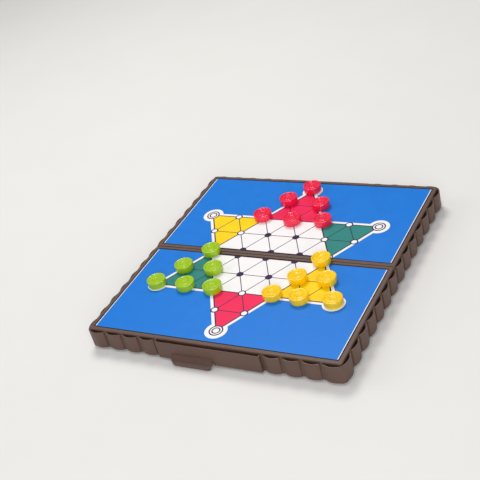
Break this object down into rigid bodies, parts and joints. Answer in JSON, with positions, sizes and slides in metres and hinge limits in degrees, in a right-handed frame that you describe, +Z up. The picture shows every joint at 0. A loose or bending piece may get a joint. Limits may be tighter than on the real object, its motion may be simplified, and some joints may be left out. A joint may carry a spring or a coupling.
{
  "type": "chinese checkers board",
  "caption": "Folding magnetic Chinese checkers board: hinged fluted tray halves with a printed star, a snap clasp and magnetic draughts standing on it.",
  "frame": {"origin": "on the table plane, under the middle of the open board's footprint with the open clasp counted in", "axes": "+X to the right along the fold, +Y away from the clasp side, +Z up out of the playing surface"},
  "size_m": [0.197, 0.2077, 0.0223],
  "materials": {
    "case_plastic": "moulded satin",
    "iron_sheet": "tinned sheet",
    "printed_sheet": "laminated print",
    "steel_pin": "drawn wire",
    "magnet": "sintered ferrite",
    "green_plastic": "moulded gloss",
    "red_plastic": "moulded gloss",
    "yellow_plastic": "moulded gloss"
  },
  "bodies": {
    "front_half": {"front_case": "case_plastic", "front_iron_sheet": "iron_sheet", "front_play_sheet": "printed_sheet", "hinge_pin_left": "steel_pin", "hinge_pin_right": "steel_pin", "clasp_pin": "steel_pin"},
    "rear_half": {"rear_case": "case_plastic", "rear_iron_sheet": "iron_sheet", "rear_play_sheet": "printed_sheet"},
    "clasp": {"clasp": "case_plastic"},
    "green_piece_1": {"green_piece_1": "green_plastic", "green_magnet_1": "magnet"},
    "green_piece_2": {"green_piece_2": "green_plastic", "green_magnet_2": "magnet"},
    "green_piece_3": {"green_piece_3": "green_plastic", "green_magnet_3": "magnet"},
    "green_piece_4": {"green_piece_4": "green_plastic", "green_magnet_4": "magnet"},
    "green_piece_5": {"green_piece_5": "green_plastic", "green_magnet_5": "magnet"},
    "green_piece_6": {"green_piece_6": "green_plastic", "green_magnet_6": "magnet"},
    "red_piece_1": {"red_piece_1": "red_plastic", "red_magnet_1": "magnet"},
    "red_piece_2": {"red_piece_2": "red_plastic", "red_magnet_2": "magnet"},
    "red_piece_3": {"red_piece_3": "red_plastic", "red_magnet_3": "magnet"},
    "red_piece_4": {"red_piece_4": "red_plastic", "red_magnet_4": "magnet"},
    "red_piece_5": {"red_piece_5": "red_plastic", "red_magnet_5": "magnet"},
    "red_piece_6": {"red_piece_6": "red_plastic", "red_magnet_6": "magnet"},
    "yellow_piece_1": {"yellow_piece_1": "yellow_plastic", "yellow_magnet_1": "magnet"},
    "yellow_piece_2": {"yellow_piece_2": "yellow_plastic", "yellow_magnet_2": "magnet"},
    "yellow_piece_3": {"yellow_piece_3": "yellow_plastic", "yellow_magnet_3": "magnet"},
    "yellow_piece_4": {"yellow_piece_4": "yellow_plastic", "yellow_magnet_4": "magnet"},
    "yellow_piece_5": {"yellow_piece_5": "yellow_plastic", "yellow_magnet_5": "magnet"},
    "yellow_piece_6": {"yellow_piece_6": "yellow_plastic", "yellow_magnet_6": "magnet"}
  },
  "joints": [
    {"name": "fold", "type": "hinge", "parent": "front_half", "child": "rear_half", "pos_m": [0, 0.00286, 0.002], "axis": [-1, 0, 0], "range_deg": [0, 180]},
    {"name": "clasp_swing", "type": "hinge", "parent": "front_half", "child": "clasp", "pos_m": [-0.01225, -0.09694, 0.0056], "axis": [1, 0, 0], "range_deg": [-20, 66.3]},
    {"name": "green_1_lift", "type": "slide", "parent": "front_half", "child": "green_piece_1", "axis": [0, 0, 1], "range_m": [0, 0.025]},
    {"name": "green_2_lift", "type": "slide", "parent": "front_half", "child": "green_piece_2", "axis": [0, 0, 1], "range_m": [0, 0.025]},
    {"name": "green_3_lift", "type": "slide", "parent": "front_half", "child": "green_piece_3", "axis": [0, 0, 1], "range_m": [0, 0.025]},
    {"name": "green_4_lift", "type": "slide", "parent": "front_half", "child": "green_piece_4", "axis": [0, 0, 1], "range_m": [0, 0.025]},
    {"name": "green_5_lift", "type": "slide", "parent": "front_half", "child": "green_piece_5", "axis": [0, 0, 1], "range_m": [0, 0.025]},
    {"name": "green_6_lift", "type": "slide", "parent": "front_half", "child": "green_piece_6", "axis": [0, 0, 1], "range_m": [0, 0.025]},
    {"name": "red_1_lift", "type": "slide", "parent": "rear_half", "child": "red_piece_1", "axis": [0, 0, 1], "range_m": [0, 0.025]},
    {"name": "red_2_lift", "type": "slide", "parent": "rear_half", "child": "red_piece_2", "axis": [0, 0, 1], "range_m": [0, 0.025]},
    {"name": "red_3_lift", "type": "slide", "parent": "rear_half", "child": "red_piece_3", "axis": [0, 0, 1], "range_m": [0, 0.025]},
    {"name": "red_4_lift", "type": "slide", "parent": "rear_half", "child": "red_piece_4", "axis": [0, 0, 1], "range_m": [0, 0.025]},
    {"name": "red_5_lift", "type": "slide", "parent": "rear_half", "child": "red_piece_5", "axis": [0, 0, 1], "range_m": [0, 0.025]},
    {"name": "red_6_lift", "type": "slide", "parent": "rear_half", "child": "red_piece_6", "axis": [0, 0, 1], "range_m": [0, 0.025]},
    {"name": "yellow_1_lift", "type": "slide", "parent": "front_half", "child": "yellow_piece_1", "axis": [0, 0, 1], "range_m": [0, 0.025]},
    {"name": "yellow_2_lift", "type": "slide", "parent": "front_half", "child": "yellow_piece_2", "axis": [0, 0, 1], "range_m": [0, 0.025]},
    {"name": "yellow_3_lift", "type": "slide", "parent": "front_half", "child": "yellow_piece_3", "axis": [0, 0, 1], "range_m": [0, 0.025]},
    {"name": "yellow_4_lift", "type": "slide", "parent": "front_half", "child": "yellow_piece_4", "axis": [0, 0, 1], "range_m": [0, 0.025]},
    {"name": "yellow_5_lift", "type": "slide", "parent": "front_half", "child": "yellow_piece_5", "axis": [0, 0, 1], "range_m": [0, 0.025]},
    {"name": "yellow_6_lift", "type": "slide", "parent": "front_half", "child": "yellow_piece_6", "axis": [0, 0, 1], "range_m": [0, 0.025]}
  ]
}
